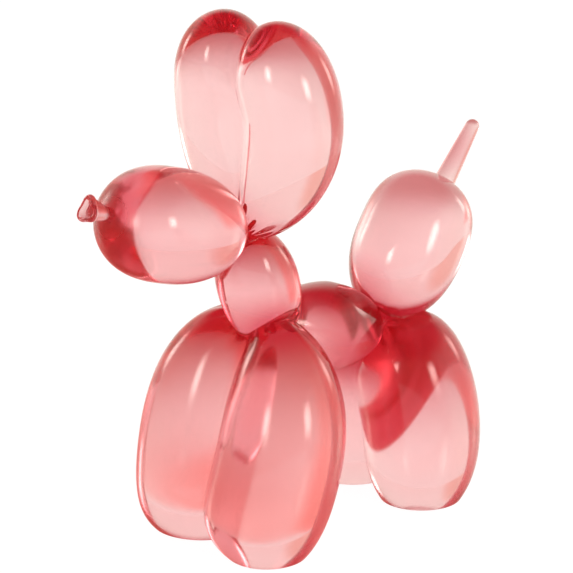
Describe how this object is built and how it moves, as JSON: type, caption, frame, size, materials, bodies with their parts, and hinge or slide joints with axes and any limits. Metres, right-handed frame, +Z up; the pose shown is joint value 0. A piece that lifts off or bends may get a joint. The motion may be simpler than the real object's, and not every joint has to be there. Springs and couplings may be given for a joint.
{
  "type": "balloon dog sculpture",
  "caption": "Balloon dog sculpture of fat twisted bubbles, cast solid in clear pink resin, with a knotted nose and thin tail end, standing on flat-bottomed legs.",
  "frame": {"origin": "centre of the figure's bounding box at the floor that the feet stand on", "axes": "+Z up, the dog faces -Y, its left side is +X"},
  "size_m": [0.1122, 0.2529, 0.2502],
  "materials": {
    "pink_clear_resin": "clear pink-tinted casting resin, polished to a high gloss"
  },
  "bodies": {
    "root": {"balloon_dog": "pink_clear_resin"}
  },
  "joints": []
}
